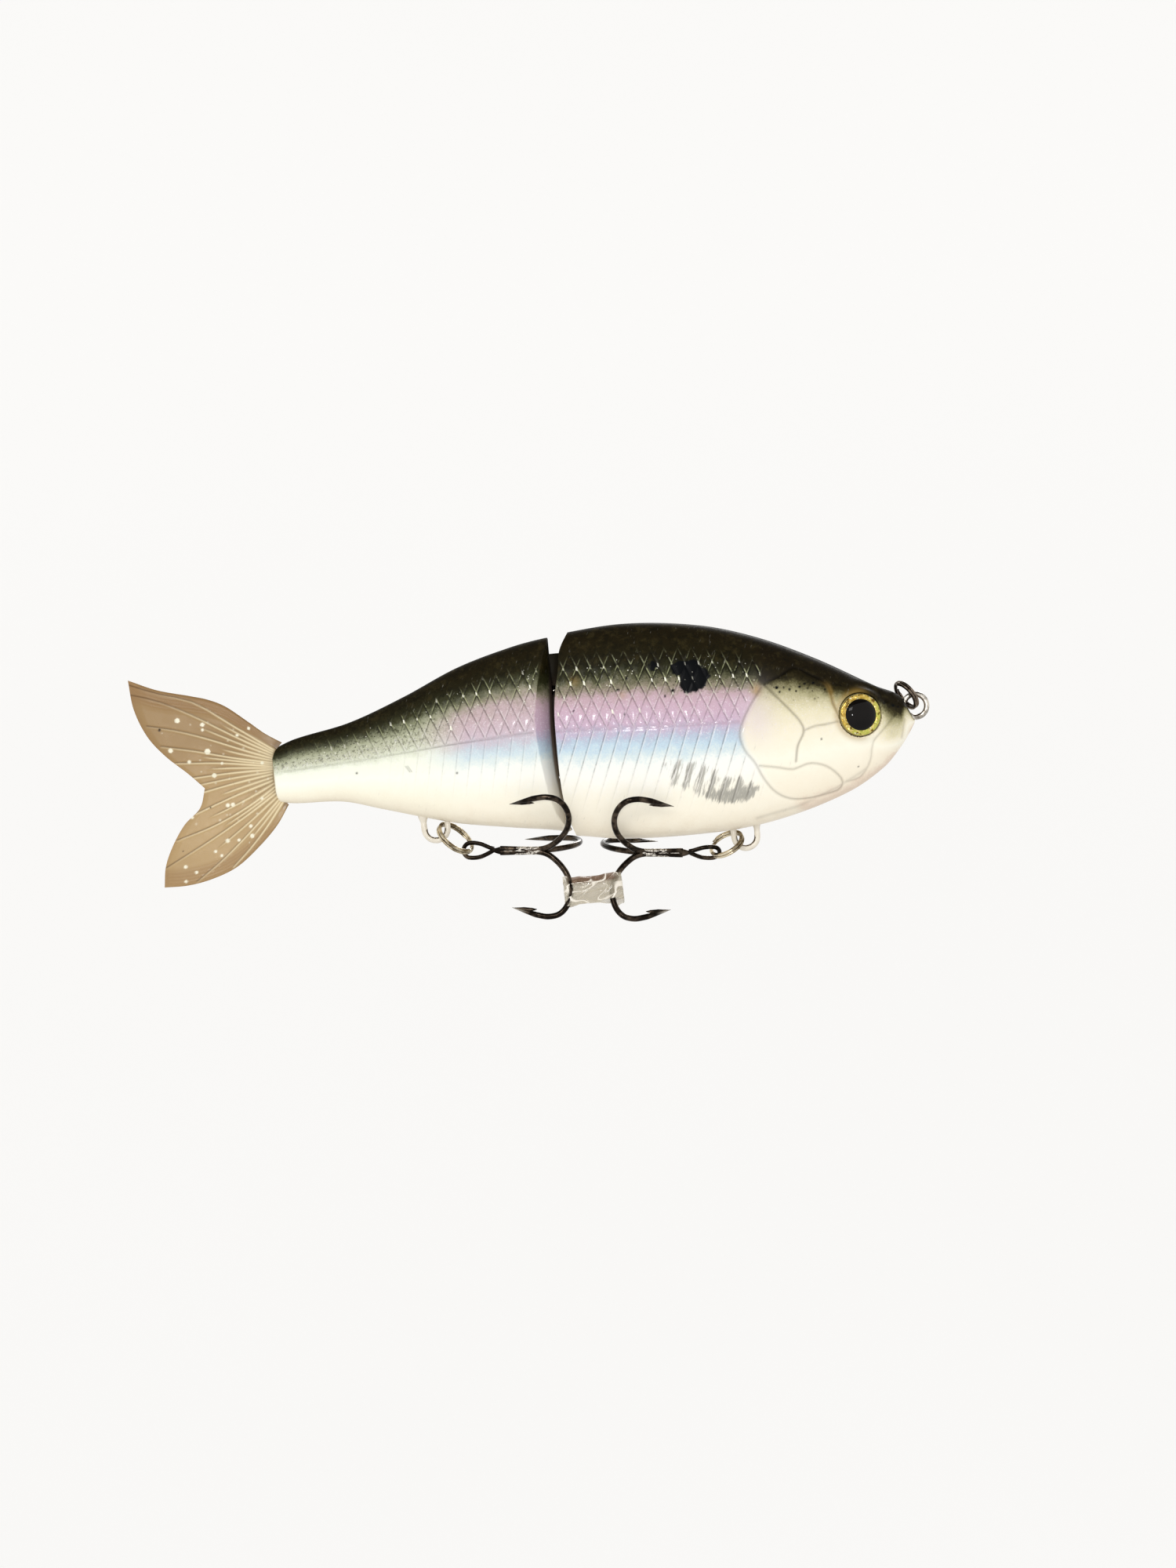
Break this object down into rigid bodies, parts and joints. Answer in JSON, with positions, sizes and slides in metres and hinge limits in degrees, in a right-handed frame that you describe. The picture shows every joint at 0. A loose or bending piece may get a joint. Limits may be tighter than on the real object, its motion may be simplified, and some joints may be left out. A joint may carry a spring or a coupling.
{
  "type": "swimbait",
  "caption": "Hard jointed swimbait with a hinged tail section, a soft forked tail fin, treble hooks on split rings and a wire line tie with its own ring.",
  "frame": {"origin": "centre of the wire line-tie loop at the nose", "axes": "+X from the tail towards the nose, +Z towards the back, +Y towards the bait's left side"},
  "size_m": [0.1689, 0.0251, 0.0631],
  "materials": {
    "painted_shell": "gloss painted, dark olive back, pearl side, cream belly",
    "moulded_eye": "domed gloss, gold ring",
    "ballast_metal": "matt",
    "bright_wire": "bright",
    "smoked_ring": "smoked, bright edges",
    "white_wire": "gloss white paint over wire",
    "split_ring": "bright, slightly golden",
    "hook_wire": "black nickel",
    "soft_fin": "soft translucent smoke with silver flake",
    "clear_band": "clear crumpled film"
  },
  "bodies": {
    "head_section": {"head_shell_right": "painted_shell", "head_shell_left": "painted_shell", "eye_right": "moulded_eye", "eye_left": "moulded_eye", "head_front_ballast": "ballast_metal", "head_belly_ballast": "ballast_metal", "line_tie_eye": "bright_wire", "upper_hinge_eye": "bright_wire", "lower_hinge_eye": "bright_wire", "front_hook_hanger": "white_wire"},
    "line_ring": {"line_tie_ring": "smoked_ring"},
    "tail_section": {"tail_shell_right": "painted_shell", "tail_shell_left": "painted_shell", "tail_ballast": "ballast_metal", "hinge_pin": "bright_wire", "rear_hook_hanger": "white_wire", "tail_fin_pin": "bright_wire"},
    "fin": {"tail_fin": "soft_fin"},
    "front_ring": {"front_split_ring": "split_ring"},
    "front_treble": {"front_treble_hook": "hook_wire", "hook_tie_band": "clear_band"},
    "rear_ring": {"rear_split_ring": "split_ring"},
    "rear_treble": {"rear_treble_hook": "hook_wire"}
  },
  "joints": [
    {"name": "tail_swing", "type": "hinge", "parent": "head_section", "child": "tail_section", "pos_m": [-0.076, 0, 0], "axis": [0, 0, 1], "range_deg": [-19, 19]},
    {"name": "fin_flex", "type": "hinge", "parent": "tail_section", "child": "fin", "pos_m": [-0.1346, 0, 0], "axis": [0, 0, 1], "range_deg": [-18, 18], "stiffness_Nm_per_rad": 0.004},
    {"name": "line_ring_swing", "type": "hinge", "parent": "head_section", "child": "line_ring", "pos_m": [0, 0, 0], "axis": [0, 1, 0], "range_deg": [0, 200]},
    {"name": "front_ring_swing", "type": "hinge", "parent": "head_section", "child": "front_ring", "pos_m": [-0.0387, 0, -0.0239], "axis": [0, -1, 0], "range_deg": [0, 90]},
    {"name": "front_treble_swing", "type": "hinge", "parent": "front_ring", "child": "front_treble", "pos_m": [-0.04619, 0, -0.02652], "axis": [0, -1, 0], "range_deg": [0, 90], "deforming": ["hook_tie_band"]},
    {"name": "rear_ring_swing", "type": "hinge", "parent": "tail_section", "child": "rear_ring", "pos_m": [-0.104, 0, -0.0154], "axis": [0, 1, 0], "range_deg": [0, 90]},
    {"name": "rear_treble_swing", "type": "hinge", "parent": "rear_ring", "child": "rear_treble", "pos_m": [-0.09713, 0, -0.02072], "axis": [0, 1, 0], "range_deg": [0, 90]}
  ]
}
